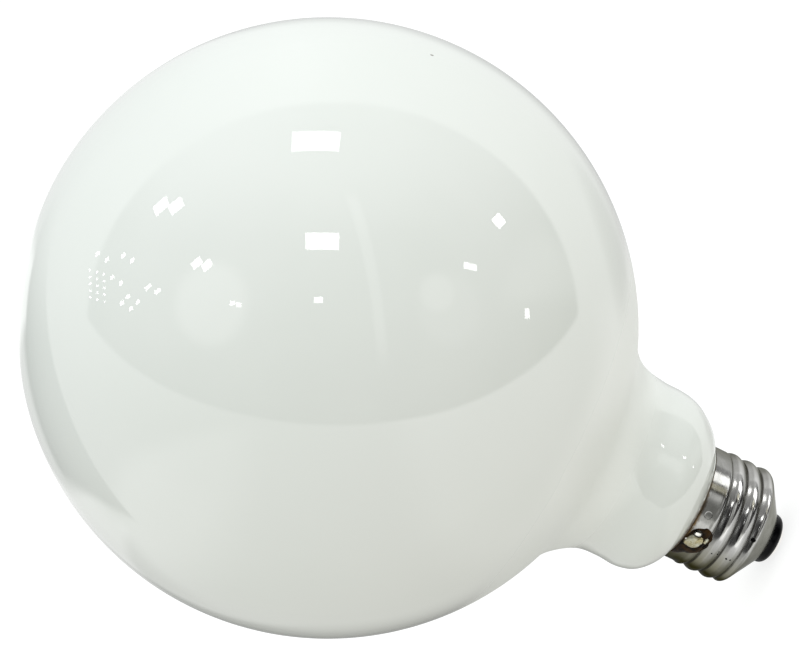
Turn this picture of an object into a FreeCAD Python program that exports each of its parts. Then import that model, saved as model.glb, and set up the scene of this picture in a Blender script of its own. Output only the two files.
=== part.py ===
# Large opal globe bulb on a medium screw cap.
# It stands upright in its own frame: the axis is Z, the cap is down, and the origin is at the tip of the
# centre contact. The pieces of the cap are drawn with the side solder on their own X axis and are then
# turned together about Z.
import FreeCAD, Part
import math
import os

import Sketcher
from FreeCAD import Placement, Rotation, Vector

# Driving dimensions in millimetres, angles in degrees, from the contact's tip upwards.
SIZES = {
    # Centre contact: a brass eyelet riveted through the insulator and closed by a dome of solder.
    "dome_height": 0.35,
    "dome_diameter": 4.8,
    "plate_thickness": 0.35,
    "plate_diameter": 6.6,
    "eyelet_diameter": 2.0,
    "eyelet_wall": 0.35,
    "eyelet_flange": 0.7,
    "eyelet_flange_height": 0.3,
    "solder_plug": 1.2,
    # Black glass insulator: a button outside the shell, and a dish moulded into the shell's cone.
    "button_length": 2.5,
    "button_taper": 1.4,
    "insulator_depth": 3.2,
    "insulator_floor": 4.3,
    "insulator_land": 2.6,
    "insulator_dish": 4.4,
    # Screw shell: thin sheet, a plain band, a rolled thread and an end cone.
    "sheet_thickness": 0.3,
    "shell_diameter": 25.5,
    "cone_end_diameter": 12.2,
    "cone_length": 4.85,
    "thread_depth": 0.7,
    "thread_pitch": 3.629,
    "thread_turns": 2.4,
    "thread_start": 214.0,
    "thread_run_in": 0.55,
    "thread_run_out": 1.5,
    "band_length": 3.2,
    "notch_width": 0.5,
    "notch_depth": 0.5,
    "punch_width": 1.6,
    "punch_depth": 0.12,
    "punch_azimuth": 29.5,
    "punch_drop": 1.9,
    # Cement ring between the glass tail and the shell.
    "cement_thickness": 0.8,
    "cement_lip": 0.15,
    "joint_gap": 0.25,
    # Sealed opal glass: collar, shoulder, neck and globe, with its tail and exhaust tip inside the cap.
    "collar_overhang": 0.25,
    "collar_length": 0.3,
    "shoulder_radius": 10.0,
    "neck_diameter": 39.0,
    "neck_length": 4.1,
    "neck_fillet": 15.5,
    "globe_diameter": 127.0,
    "tail_length": 8.5,
    "tip_diameter": 4.4,
    "tip_length": 4.0,
    # Lead wires, and the solder that joins one of them to the band.
    "lead_diameter": 0.4,
    "lead_clearance": 0.95,
    "side_lead_inset": 3.3,
    "solder_azimuth": -124.0,
    "solder_height": 0.75,
    "solder_width": 3.6,
    "lead_in_solder": 0.3,
}
# The swing of the thread is followed in this many straight steps for each turn.
STEPS_PER_TURN = 8

doc = FreeCAD.newDocument("globe_bulb")
sheet = doc.addObject("Spreadsheet::Sheet", "Sizes")
for row, (alias, size) in enumerate(SIZES.items(), start=1):
    sheet.set(f"A{row}", alias)
    sheet.set(f"B{row}", str(size))
    sheet.setAlias(f"B{row}", alias)
doc.recompute()


def above(level, *names):
    """The expression of a height that stands above another one by the named sizes."""
    return " + ".join([level] + [f"Sizes.{name}" for name in names])


def number(expression):
    """The present value of an expression, for the first place of a sketch's points."""
    return float(sheet.evalExpression(expression))


# Heights along the axis, each stacked on the one below it.
DOME = "Sizes.dome_height"
PLATE = above(DOME, "plate_thickness")
SHELL_END = above(PLATE, "button_length")
CONE_TOP = above(SHELL_END, "cone_length")
THREAD_FOOT = above(CONE_TOP, "thread_run_in")
THREAD_TOP = f"{THREAD_FOOT} + Sizes.thread_turns * Sizes.thread_pitch"
BAND_FOOT = above(THREAD_TOP, "thread_run_out")
RIM = above(BAND_FOOT, "band_length")
COLLAR = above(RIM, "joint_gap")
TAIL_END = f"{COLLAR} - Sizes.tail_length"
TIP_END = f"{TAIL_END} - Sizes.tip_length"
FLOOR = above(PLATE, "insulator_floor")
FLANGE = above(FLOOR, "eyelet_flange_height")
SEAT_TOP = above(SHELL_END, "insulator_depth")
PLUG_TOP = above(DOME, "solder_plug")
WIRE_EXIT = f"{RIM} - Sizes.notch_depth / 2"
SOLDER_MIDDLE = f"{RIM} - Sizes.solder_width / 2"
PUNCH_MIDDLE = f"{RIM} - Sizes.punch_drop"

# Radii that several pieces share.
SHELL = "Sizes.shell_diameter / 2"
SWING = "Sizes.thread_depth / 2"
BAND_BORE = f"({SHELL} - Sizes.sheet_thickness)"
THREAD_BORE = f"({SHELL} - {SWING} - Sizes.sheet_thickness)"
CONE_SLOPE = f"(({SHELL} - Sizes.cone_end_diameter / 2) / Sizes.cone_length)"
CONE_WALL = f"(Sizes.sheet_thickness * sqrt(1 + {CONE_SLOPE}^2))"
END_BORE = f"(Sizes.cone_end_diameter / 2 - {CONE_WALL})"
TAIL = f"({THREAD_BORE} - Sizes.cement_thickness)"
COLLAR_RADIUS = f"({SHELL} + Sizes.collar_overhang)"
EYELET = "Sizes.eyelet_diameter / 2"
EYELET_BORE = f"({EYELET} - Sizes.eyelet_wall)"
LEAD = "Sizes.lead_diameter / 2"
LEAD_OFFSET = f"(Sizes.tip_diameter / 2 + {LEAD} + Sizes.lead_clearance)"
WIRE_LANE = f"({TAIL} + Sizes.cement_thickness / 2)"


def new_body(label):
    body = doc.addObject("PartDesign::Body", label)
    body.Label = label
    return body


def new_sketch(body, name, role, height="0"):
    """An empty sketch on one of the body's own planes, lifted along that plane's normal."""
    sketch = body.newObject("Sketcher::SketchObject", name)
    plane = [feature for feature in body.Origin.OriginFeatures if feature.Role == role][0]
    sketch.AttachmentSupport = (plane, [""])
    sketch.MapMode = "FlatFace"
    if height != "0":
        sketch.setExpression("AttachmentOffset.Base.z", height)
    return sketch


def measure(sketch, kind, expression, *places):
    """A dimension of the sketch that follows the spreadsheet."""
    index = sketch.addConstraint(Sketcher.Constraint(kind, *places, number(expression)))
    sketch.setExpression(f"Constraints[{index}]", expression)


def pin_point(sketch, segment, end, x, y):
    """Fixes one end of a segment at a radius x and a height y."""
    if x == "0":
        sketch.addConstraint(Sketcher.Constraint("PointOnObject", segment, end, -2))
    else:
        measure(sketch, "DistanceX", x, -1, 1, segment, end)
    if y == "0":
        sketch.addConstraint(Sketcher.Constraint("PointOnObject", segment, end, -1))
    else:
        measure(sketch, "DistanceY", y, -1, 1, segment, end)


def arc_between(start, stop, radius, turn):
    """The short arc from start to stop, bending left for a turn of 1 and right for -1."""
    chord = stop - start
    normal = Vector(-chord.y, chord.x, 0).normalize() * turn
    depth = math.sqrt(max(radius**2 - chord.Length**2 / 4, 0))
    centre = (start + stop) * 0.5 + normal * depth
    first, last = (start, stop) if turn > 0 else (stop, start)
    angles = [math.atan2(point.y - centre.y, point.x - centre.x) for point in (first, last)]
    return Part.ArcOfCircle(Part.Circle(centre, Vector(0, 0, 1), radius), *angles)


def trace(sketch, corners, closed=True):
    """Draws a line through the corners. A corner is (x, y), or (x, y, radius, turn) where an arc leaves it."""
    spots = [Vector(number(corner[0]), number(corner[1]), 0) for corner in corners]
    count = len(corners) if closed else len(corners) - 1
    ends = []
    for i in range(count):
        start, stop = spots[i], spots[(i + 1) % len(spots)]
        if len(corners[i]) == 2:
            sketch.addGeometry(Part.LineSegment(start, stop), False)
            ends.append((1, 2))
        else:
            radius, turn = corners[i][2:]
            sketch.addGeometry(arc_between(start, stop, number(radius), turn), False)
            ends.append((1, 2) if turn > 0 else (2, 1))
    for i in range(count if closed else count - 1):
        after = (i + 1) % count
        sketch.addConstraint(Sketcher.Constraint("Coincident", i, ends[i][1], after, ends[after][0]))
    for i in range(count):
        pin_point(sketch, i, ends[i][0], corners[i][0], corners[i][1])
        if len(corners[i]) > 2:
            measure(sketch, "Radius", corners[i][2], i)
    if not closed:
        pin_point(sketch, count - 1, ends[-1][1], corners[-1][0], corners[-1][1])


def turned(body, name, corners, kind="PartDesign::Revolution"):
    """A full turn of an outline about the body's Z axis, added or cut away."""
    sketch = new_sketch(body, f"{name}_outline", "XZ_Plane")
    trace(sketch, corners)
    feature = body.newObject(kind, name)
    feature.Profile = sketch
    feature.ReferenceAxis = (sketch, ["V_Axis"])
    feature.Angle = 360
    return feature


def round_section(body, name, radius, x="0", height="0"):
    """A circle lying flat at a height, centred at x."""
    sketch = new_sketch(body, name, "XY_Plane", height)
    centre = Vector(number(x), 0, 0)
    circle = sketch.addGeometry(Part.Circle(centre, Vector(0, 0, 1), number(radius)), False)
    measure(sketch, "Radius", radius, circle)
    pin_point(sketch, circle, 3, x, "0")
    return sketch


def swept_wire(label, corners):
    """A lead wire along a route in the X-Z plane that starts straight up or down."""
    body = new_body(label)
    section = round_section(body, "section", LEAD, corners[0][0], corners[0][1])
    route = new_sketch(body, "route", "XZ_Plane")
    trace(route, corners, closed=False)
    wire = body.newObject("PartDesign::AdditivePipe", "wire")
    wire.Profile = section
    wire.Spine = (route, [])
    wire.Transition = "Right corner"
    return body


def place_primitive(feature, **places):
    """Ties the place of a ball or cylinder to the sheet, axis by axis."""
    for axis, expression in places.items():
        feature.setExpression(f"Placement.Base.{axis}", expression)


def opal_glass():
    """The sealed glass, one solid: an outline of arcs that run smoothly into each other."""
    body = new_body("glass_globe")
    sketch = new_sketch(body, "glass_outline", "XZ_Plane")
    globe = number("Sizes.globe_diameter / 2")
    neck = number("Sizes.neck_diameter / 2")
    fillet = number("Sizes.neck_fillet")
    shoulder = number("Sizes.shoulder_radius")
    collar, collar_foot = number(COLLAR_RADIUS), number(COLLAR)
    collar_top = collar_foot + number("Sizes.collar_length")
    tail, tail_end = number(TAIL), number(TAIL_END)
    tip, tip_end = number("Sizes.tip_diameter / 2"), number(TIP_END)
    # First places of the arcs' centres; the tangencies below hold them from then on.
    shoulder_reach = collar - (neck - shoulder)
    shoulder_level = collar_top + math.sqrt(shoulder**2 - shoulder_reach**2)
    waist_level = shoulder_level + number("Sizes.neck_length")
    rise = math.sqrt((globe + fillet) ** 2 - (neck + fillet) ** 2)
    centre_level = waist_level + rise
    globe_angle = -math.atan2(rise, neck + fillet)
    shoulder_angle = math.atan2(collar_top - shoulder_level, shoulder_reach)
    half_turn = math.pi

    def arc(x, y, radius, first, last):
        circle = Part.Circle(Vector(x, y, 0), Vector(0, 0, 1), radius)
        return sketch.addGeometry(Part.ArcOfCircle(circle, first, last), False)

    def line(x_from, y_from, x_to, y_to):
        return sketch.addGeometry(Part.LineSegment(Vector(x_from, y_from, 0), Vector(x_to, y_to, 0)), False)

    ball = arc(0, centre_level, globe, globe_angle, half_turn / 2)
    waist = arc(neck + fillet, waist_level, fillet, globe_angle + half_turn, half_turn)
    neck_side = line(neck, waist_level, neck, shoulder_level)
    bend = arc(neck - shoulder, shoulder_level, shoulder, shoulder_angle, 0)
    collar_side = line(collar, collar_top, collar, collar_foot)
    step = line(collar, collar_foot, tail, collar_foot)
    tail_side = line(tail, collar_foot, tail, tail_end)
    tail_face = line(tail, tail_end, tip, tail_end)
    tip_side = line(tip, tail_end, tip, tip_end + tip)
    tip_ball = arc(0, tip_end + tip, tip, -half_turn / 2, 0)
    axis = line(0, tip_end, 0, centre_level + globe)

    tangents = [(ball, 1, waist, 1), (waist, 2, neck_side, 1), (neck_side, 2, bend, 2), (tip_side, 2, tip_ball, 2)]
    corners = [(bend, 1, collar_side, 1), (collar_side, 2, step, 1), (step, 2, tail_side, 1),
               (tail_side, 2, tail_face, 1), (tail_face, 2, tip_side, 1), (tip_ball, 1, axis, 1), (ball, 2, axis, 2)]
    for joint in tangents:
        sketch.addConstraint(Sketcher.Constraint("Tangent", *joint))
    for joint in corners:
        sketch.addConstraint(Sketcher.Constraint("Coincident", *joint))
    for upright in (neck_side, collar_side, tail_side, tip_side):
        sketch.addConstraint(Sketcher.Constraint("Vertical", upright))
    for level in (step, tail_face):
        sketch.addConstraint(Sketcher.Constraint("Horizontal", level))
    for segment, end in ((ball, 3), (tip_ball, 3), (axis, 1), (axis, 2)):
        sketch.addConstraint(Sketcher.Constraint("PointOnObject", segment, end, -2))
    measure(sketch, "Radius", "Sizes.globe_diameter / 2", ball)
    measure(sketch, "Radius", "Sizes.neck_fillet", waist)
    measure(sketch, "Radius", "Sizes.shoulder_radius", bend)
    measure(sketch, "DistanceX", "Sizes.neck_diameter / 2", -1, 1, neck_side, 1)
    measure(sketch, "DistanceY", "Sizes.neck_length", neck_side, 2, neck_side, 1)
    measure(sketch, "DistanceX", COLLAR_RADIUS, -1, 1, collar_side, 2)
    measure(sketch, "DistanceY", "Sizes.collar_length", collar_side, 2, collar_side, 1)
    measure(sketch, "DistanceY", COLLAR, -1, 1, collar_side, 2)
    measure(sketch, "DistanceX", TAIL, -1, 1, tail_side, 1)
    measure(sketch, "DistanceY", TAIL_END, -1, 1, tail_face, 2)
    measure(sketch, "DistanceX", "Sizes.tip_diameter / 2", -1, 1, tip_side, 1)
    measure(sketch, "DistanceY", TIP_END, -1, 1, axis, 1)
    blown = body.newObject("PartDesign::Revolution", "blown_glass")
    blown.Profile = sketch
    blown.ReferenceAxis = (sketch, ["V_Axis"])
    blown.Angle = 360
    return body


def thread_line():
    """The centre line of the shell's tube. It swings round the axis once for each turn of the thread."""
    swing, start = number(SWING), math.radians(sheet.thread_start)
    steps = math.ceil(STEPS_PER_TURN * sheet.thread_turns)
    foot, top = number(THREAD_FOOT), number(THREAD_TOP)
    points = [Vector(0, 0, number(CONE_TOP))]
    for i in range(steps + 1):
        level = foot + (top - foot) * i / steps
        angle = start - 2 * math.pi * (top - level) / sheet.thread_pitch
        points.append(Vector(swing * math.cos(angle), swing * math.sin(angle), level))
    points += [Vector(0, 0, number(BAND_FOOT)), Vector(0, 0, number(RIM))]
    line = doc.addObject("Part::Feature", "thread_line")
    line.Shape = Part.makePolygon(points)
    return line


def screw_shell():
    """One drawn sheet: the tube is carried along the thread's line, so the band, the thread and its ends are
    one surface; the end cone and the hollow are turned."""
    body = new_body("screw_shell")
    binder = body.newObject("PartDesign::SubShapeBinder", "thread_line_binder")
    binder.Relative = False
    binder.Support = [(thread_line(), ("",))]
    doc.recompute()
    tube = body.newObject("PartDesign::AdditivePipe", "threaded_tube")
    tube.Profile = round_section(body, "tube_section", SHELL, "0", CONE_TOP)
    tube.Spine = (binder, [])
    tube.Mode = "Fixed"
    end_radius = "Sizes.cone_end_diameter / 2"
    turned(body, "end_cone", [("0", SHELL_END), (end_radius, SHELL_END), (SHELL, CONE_TOP), ("0", CONE_TOP)])
    cone_bore_top = f"{SHELL_END} + ({THREAD_BORE} - {END_BORE}) / {CONE_SLOPE}"
    turned(body, "hollow", [("0", SHELL_END), (END_BORE, SHELL_END), (THREAD_BORE, cone_bore_top),
                            (THREAD_BORE, THREAD_TOP), (BAND_BORE, BAND_FOOT), (BAND_BORE, RIM), ("0", RIM)],
           "PartDesign::Groove")
    notch_sketch = new_sketch(body, "notch_outline", "XZ_Plane")
    inside, outside = f"{BAND_BORE} - Sizes.sheet_thickness", f"{SHELL} + Sizes.sheet_thickness"
    notch_foot = f"{RIM} - Sizes.notch_depth"
    trace(notch_sketch, [(inside, notch_foot), (outside, notch_foot), (outside, RIM), (inside, RIM)])
    notch = body.newObject("PartDesign::Pocket", "lead_notch")
    notch.Profile = notch_sketch
    notch.SideType = "Symmetric"
    notch.setExpression("Length", "Sizes.notch_width")
    punch_ball = "((Sizes.punch_width / 2)^2 + Sizes.punch_depth^2) / (2 * Sizes.punch_depth)"
    reach = f"({SHELL} - Sizes.punch_depth + {punch_ball})"
    punch = body.newObject("PartDesign::SubtractiveSphere", "punch_mark")
    punch.setExpression("Radius", punch_ball)
    place_primitive(punch, x=f"{reach} * cos(Sizes.punch_azimuth)", y=f"{reach} * sin(Sizes.punch_azimuth)",
                    z=PUNCH_MIDDLE)
    return body


def basing_cement():
    """The baked cement ring, with a thin lip between the rim and the collar and a slot for the side lead."""
    body = new_body("basing_cement")
    lip = f"({BAND_BORE} + Sizes.cement_lip)"
    turned(body, "ring", [(TAIL, BAND_FOOT), (BAND_BORE, BAND_FOOT), (BAND_BORE, RIM), (lip, RIM), (lip, COLLAR),
                          (TAIL, COLLAR)])
    slot_sketch = new_sketch(body, "slot_outline", "XZ_Plane")
    inside, outside = f"{TAIL} - Sizes.cement_thickness", f"{BAND_BORE} + Sizes.cement_thickness"
    trace(slot_sketch, [(inside, BAND_FOOT), (outside, BAND_FOOT), (outside, RIM), (inside, RIM)])
    slot = body.newObject("PartDesign::Pocket", "lead_slot")
    slot.Profile = slot_sketch
    slot.SideType = "Symmetric"
    slot.setExpression("Length", "Sizes.notch_width")
    return body


def cap_insulator():
    """Black glass: a rounded button below the shell, and a dish that fills the foot of its cone."""
    body = new_body("cap_insulator")
    seat = f"({END_BORE} + {CONE_SLOPE} * Sizes.insulator_depth)"
    button = f"({END_BORE} - Sizes.button_taper)"
    button_round = "(Sizes.button_taper^2 + Sizes.button_length^2) / (2 * Sizes.button_length)"
    turned(body, "moulded_glass", [(EYELET, PLATE), (button, PLATE, button_round, 1), (END_BORE, SHELL_END),
                                   (seat, SEAT_TOP), (f"{seat} - Sizes.insulator_land", SEAT_TOP),
                                   ("Sizes.insulator_dish", FLOOR), (EYELET, FLOOR)])
    return body


def center_contact():
    """The eyelet: a plate under the button, a tube through the glass and a flange rolled over inside."""
    body = new_body("center_contact")
    plate = "Sizes.plate_diameter / 2"
    flange = f"({EYELET} + Sizes.eyelet_flange)"
    turned(body, "eyelet", [(EYELET_BORE, DOME), (plate, DOME), (plate, PLATE), (EYELET, PLATE), (EYELET, FLOOR),
                            (flange, FLOOR), (flange, FLANGE), (EYELET_BORE, FLANGE)])
    return body


def center_solder():
    """A dome of solder under the plate, with a plug in the eyelet that holds the end of the lead."""
    body = new_body("center_solder")
    edge = "Sizes.dome_diameter / 2"
    dome_radius = f"(({edge})^2 + {DOME}^2) / (2 * {DOME})"
    turned(body, "dome", [("0", "0", dome_radius, 1), (edge, DOME), (EYELET_BORE, DOME), (EYELET_BORE, PLUG_TOP),
                          (LEAD, PLUG_TOP), (LEAD, DOME), ("0", DOME)])
    return body


def center_lead():
    """The wire from the tail of the glass, beside the exhaust tip, down into the eyelet."""
    return swept_wire("center_lead", [("0", DOME), ("0", FLANGE), (LEAD_OFFSET, TIP_END), (LEAD_OFFSET, TAIL_END)])


def side_lead():
    """The wire that turns back under the tail, climbs through the cement and leaves by the notch in the rim."""
    start = f"({WIRE_LANE} - Sizes.side_lead_inset)"
    dip = f"{TAIL_END} - Sizes.lead_clearance"
    outer_end = f"{SHELL} + Sizes.lead_in_solder"
    return swept_wire("side_lead", [(start, TAIL_END), (start, dip), (WIRE_LANE, dip), (WIRE_LANE, WIRE_EXIT),
                                    (outer_end, WIRE_EXIT)])


def side_solder():
    """The blob of solder that joins the side lead to the band."""
    body = new_body("side_solder")
    ball = "((Sizes.solder_width / 2)^2 + Sizes.solder_height^2) / (2 * Sizes.solder_height)"
    blob = body.newObject("PartDesign::AdditiveSphere", "blob")
    blob.setExpression("Radius", ball)
    place_primitive(blob, x=f"{SHELL} + Sizes.solder_height - {ball}", z=SOLDER_MIDDLE)
    seat = body.newObject("PartDesign::SubtractiveCylinder", "band_seat")
    seat.setExpression("Radius", SHELL)
    seat.setExpression("Height", above(RIM, "solder_width"))
    lead_hole = body.newObject("PartDesign::SubtractiveCylinder", "lead_hole")
    lead_hole.Placement = Placement(Vector(), Rotation(Vector(0, 1, 0), 90))
    lead_hole.setExpression("Radius", LEAD)
    lead_hole.setExpression("Height", f"{SHELL} + Sizes.lead_in_solder")
    place_primitive(lead_hole, z=WIRE_EXIT)
    return body


pieces = [opal_glass(), cap_insulator(), center_contact(), center_solder(), center_lead()]
turned_pieces = [screw_shell(), basing_cement(), side_lead(), side_solder()]
for piece in turned_pieces:
    piece.Placement = Placement(Vector(), Rotation(Vector(0, 0, 1), sheet.solder_azimuth))
pieces += turned_pieces
doc.recompute()

for item in doc.Objects:
    if "Invalid" in item.State or "Error" in item.State:
        raise RuntimeError(f"{item.Label} failed: {item.State}")
for piece in pieces:
    if piece.Shape.isNull() or not piece.Shape.isValid():
        raise RuntimeError(f"{piece.Label} has no valid shape")

os.makedirs("parts", exist_ok=True)
for piece in pieces:
    piece.Shape.exportStep(f"parts/{piece.Label}.step")
    print(f"{piece.Label}: {len(piece.Shape.Solids)} solid, {piece.Shape.Volume:.2f} cubic mm")
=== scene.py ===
# %% [markdown]
# A large white globe bulb on a screw cap, dressed for its picture.
# The solids come packed at their real size and stay where they are. Each piece that shows gets a
# smooth mesh or a finish of its own here, in the same frame: metres, the axis on Z, the cap down and
# the tip of the contact at the origin.

# %% Load the solids
import math

import bpy
from mathutils import Matrix, Vector, noise


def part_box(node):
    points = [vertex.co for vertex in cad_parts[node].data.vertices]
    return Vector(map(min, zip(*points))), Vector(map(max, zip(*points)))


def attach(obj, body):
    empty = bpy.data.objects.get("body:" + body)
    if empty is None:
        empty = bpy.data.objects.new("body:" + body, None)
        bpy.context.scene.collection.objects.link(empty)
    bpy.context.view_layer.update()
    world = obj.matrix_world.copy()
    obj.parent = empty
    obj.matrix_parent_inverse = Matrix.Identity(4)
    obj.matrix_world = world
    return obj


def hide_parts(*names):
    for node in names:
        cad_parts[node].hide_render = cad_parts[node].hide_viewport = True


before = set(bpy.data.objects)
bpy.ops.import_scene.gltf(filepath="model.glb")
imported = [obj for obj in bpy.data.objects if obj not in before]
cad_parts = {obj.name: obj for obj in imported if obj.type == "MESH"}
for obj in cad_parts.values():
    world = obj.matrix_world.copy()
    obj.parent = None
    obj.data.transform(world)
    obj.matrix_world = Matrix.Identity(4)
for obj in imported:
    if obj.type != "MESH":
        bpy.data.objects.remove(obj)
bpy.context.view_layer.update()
MM = 0.001
print("solids:", sorted(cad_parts))

# %% [markdown]
# The sizes that several pieces share are read from the solids' own boxes, so the looks follow the part
# if it changes. The glass is widest at its globe, and the shell is widest at the crests of its thread.

# %% Read the main sizes
glass_low, glass_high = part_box("glass_globe")
shell_low, shell_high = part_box("screw_shell")
GLOBE = (glass_high.x - glass_low.x) / 2
MIDDLE = Vector((0, 0, glass_high.z - GLOBE))
RIM = shell_high.z
SHELL_END = shell_low.z
print(f"globe radius {GLOBE / MM:.2f} mm, middle at {MIDDLE.z / MM:.2f} mm, rim at {RIM / MM:.2f} mm")

# %% [markdown]
# Round pieces are turned on a lathe, and here the lathe is the Spin operator. One vertex is pulled along
# the outline, point by point, and the line is then spun about Z. The poles close when doubles merge, and
# the normals are recalculated because a spin can come out inside out.

# %% A lathe
TURN = 2 * math.pi


def arc(centre, radius, first, last, steps):
    """Points of an arc in the outline's plane, from one angle to another, in degrees."""
    angles = [math.radians(first + (last - first) * i / steps) for i in range(steps + 1)]
    return [(centre[0] + radius * math.cos(a), centre[1] + radius * math.sin(a)) for a in angles]


def one_vertex(name, place):
    """A new object with a single vertex, left in edit mode."""
    bpy.ops.object.select_all(action="DESELECT")
    bpy.ops.mesh.primitive_plane_add(size=MM, location=(0, 0, 0))
    piece = bpy.context.object
    piece.name = name
    piece.data.name = name
    bpy.ops.object.mode_set(mode="EDIT")
    bpy.ops.mesh.select_all(action="SELECT")
    bpy.ops.mesh.merge(type="CENTER")
    bpy.ops.transform.translate(value=place)
    return piece


def lathe(name, outline, steps, sharp_angle=35):
    """Spins an outline of (radius, height) points about Z and shades it smooth."""
    piece = one_vertex(name, (outline[0][0], 0, outline[0][1]))
    for before, after in zip(outline, outline[1:]):
        step = (after[0] - before[0], 0, after[1] - before[1])
        bpy.ops.mesh.extrude_vertices_move(TRANSFORM_OT_translate={"value": step})
    bpy.ops.mesh.select_all(action="SELECT")
    bpy.ops.mesh.spin(steps=steps, angle=TURN, center=(0, 0, 0), axis=(0, 0, 1))
    bpy.ops.mesh.select_all(action="SELECT")
    bpy.ops.mesh.remove_doubles(threshold=MM / 1000)
    bpy.ops.mesh.normals_make_consistent(inside=False)
    bpy.ops.object.mode_set(mode="OBJECT")
    bpy.ops.object.shade_smooth_by_angle(angle=math.radians(sharp_angle))
    print(f"{name}: {len(piece.data.polygons)} faces")
    return piece


# %% [markdown]
# The bulb is blown glass: a collar that the cap grips, a rounded shoulder, a short neck, and a globe that
# the neck runs into without an edge. The outline is a row of arcs that meet on a tangent. Inside the cap
# the tail and the sealed exhaust tip are kept, so that the mesh stands for the whole solid.

# %% Blow the glass
COLLAR_RADIUS = 13.0 * MM
COLLAR_FOOT = RIM + 0.25 * MM
COLLAR_TOP = COLLAR_FOOT + 0.3 * MM
COLLAR_ROUND = 0.15 * MM
SHOULDER = 10.0 * MM
NECK = 19.5 * MM
NECK_FILLET = 15.5 * MM
TAIL_RADIUS = 11.3 * MM
TAIL_FOOT = COLLAR_FOOT - 8.5 * MM
TAIL_ROUND = 1.0 * MM
TIP_RADIUS = 2.2 * MM
GLASS_STEPS = 192


def glass_outline():
    tip_level = glass_low.z + TIP_RADIUS
    shoulder_reach = COLLAR_RADIUS - (NECK - SHOULDER)
    shoulder_level = COLLAR_TOP + math.sqrt(SHOULDER**2 - shoulder_reach**2)
    shoulder_start = -math.degrees(math.acos(shoulder_reach / SHOULDER))
    rise = math.sqrt((GLOBE + NECK_FILLET) ** 2 - (NECK + NECK_FILLET) ** 2)
    waist_level = MIDDLE.z - rise
    neck_length = waist_level - shoulder_level
    meet = math.degrees(math.atan2(rise, NECK + NECK_FILLET))
    points = arc((0, tip_level), TIP_RADIUS, -90, 0, 10)
    points += [(TIP_RADIUS, TAIL_FOOT), (TAIL_RADIUS - TAIL_ROUND, TAIL_FOOT)]
    points += arc((TAIL_RADIUS - TAIL_ROUND, TAIL_FOOT + TAIL_ROUND), TAIL_ROUND, -90, 0, 6)
    points += [(TAIL_RADIUS, COLLAR_FOOT), (COLLAR_RADIUS - COLLAR_ROUND, COLLAR_FOOT)]
    points += arc((COLLAR_RADIUS - COLLAR_ROUND, COLLAR_FOOT + COLLAR_ROUND), COLLAR_ROUND, -90, 0, 4)
    points += [(COLLAR_RADIUS + 0.05 * MM, COLLAR_TOP - 0.02 * MM)]
    points += arc((NECK - SHOULDER, shoulder_level), SHOULDER, shoulder_start + 2, 0, 32)
    points += [(NECK, shoulder_level + neck_length * i / 4) for i in range(1, 4)]
    points += arc((NECK + NECK_FILLET, waist_level), NECK_FILLET, 180, 180 - meet, 24)
    points += arc((0, MIDDLE.z), GLOBE, -meet, 90, 96)[1:]
    return points


opal_glass = lathe("opal_glass", glass_outline(), GLASS_STEPS)

# %% [markdown]
# Blown glass is never quite true. The neck of this bulb leans to one side by less than a millimetre,
# between the globe and the shoulder, and the shoulder leans back a little.

# %% Lean the neck
NECK_LEAN, SHOULDER_LEAN = 0.73 * MM, -0.25 * MM
NECK_FROM, NECK_TO = (5 * MM, 12.5 * MM), (24 * MM, 16 * MM)
SHOULDER_FROM, SHOULDER_TO = (0.3 * MM, 2 * MM), (7 * MM, 4 * MM)


def smooth_step(low, high, value):
    share = min(max((value - low) / (high - low), 0), 1)
    return share * share * (3 - 2 * share)


def lean(height):
    """How far the glass leans along X: each lean grows from one height over the rim and fades at another."""
    over_rim = height - RIM
    neck = smooth_step(*NECK_FROM, over_rim) * smooth_step(*NECK_TO, over_rim)
    shoulder = smooth_step(*SHOULDER_FROM, over_rim) * smooth_step(*SHOULDER_TO, over_rim)
    return NECK_LEAN * neck + SHOULDER_LEAN * shoulder


for vertex in opal_glass.data.vertices:
    vertex.co.x += lean(vertex.co.z)
print(f"lean: neck {lean(RIM + 14 * MM) / MM:.2f} mm, shoulder {lean(RIM + 3 * MM) / MM:.2f} mm")

# %% [markdown]
# The screw shell is thin sheet, rolled between two dies. Its wall is a plain band, a knuckle thread of a
# little over two turns and an end cone. A helix can't be turned on a lathe, so the plain wall is turned
# first, in fine rings, and each vertex is then moved out to a crest or in to a groove by its place along
# the helix. The same height is kept as an attribute, so that the finish can find the grooves.

# %% Describe the rolled wall
SHELL = 12.75 * MM
CONE_END = 6.1 * MM
CONE_TOP = SHELL_END + 4.85 * MM
CONE_BEND = 0.5 * MM
THREAD_SWING = 0.35 * MM
THREAD_PITCH = 3.629 * MM
THREAD_TOP = CONE_TOP + 0.55 * MM + 2.4 * THREAD_PITCH
BAND_FOOT = THREAD_TOP + 1.5 * MM
CREST_AT_TOP = math.radians(90)
CREST_BREADTH = 0.6


def soft_min(first, second, width):
    share = min(max(0.5 + (second - first) / (2 * width), 0), 1)
    return second + (first - second) * share - width * share * (1 - share)


def plain_wall(height):
    """Radius of the wall before the thread is rolled: the cone runs into the band in a soft bend."""
    cone = CONE_END + (SHELL - CONE_END) * (height - SHELL_END) / (CONE_TOP - SHELL_END)
    return soft_min(cone, SHELL, CONE_BEND)


def thread_height(azimuth, height):
    """From -1 in a groove to 1 on a crest. Grooves are narrower than crests."""
    crest = CREST_AT_TOP - TURN * (THREAD_TOP - height) / THREAD_PITCH
    wave = (1 + math.cos(azimuth - crest)) / 2
    return 2 * wave**CREST_BREADTH - 1


def thread_share(height):
    """How much of the thread there is at a height: it fades into the cone and into the band."""
    run_in = smooth_step(CONE_TOP - 0.5 * MM, CONE_TOP + MM, height)
    return run_in * smooth_step(BAND_FOOT, THREAD_TOP, height)


def wall_radius(azimuth, height):
    return plain_wall(height) + THREAD_SWING * thread_share(height) * thread_height(azimuth, height)


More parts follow.
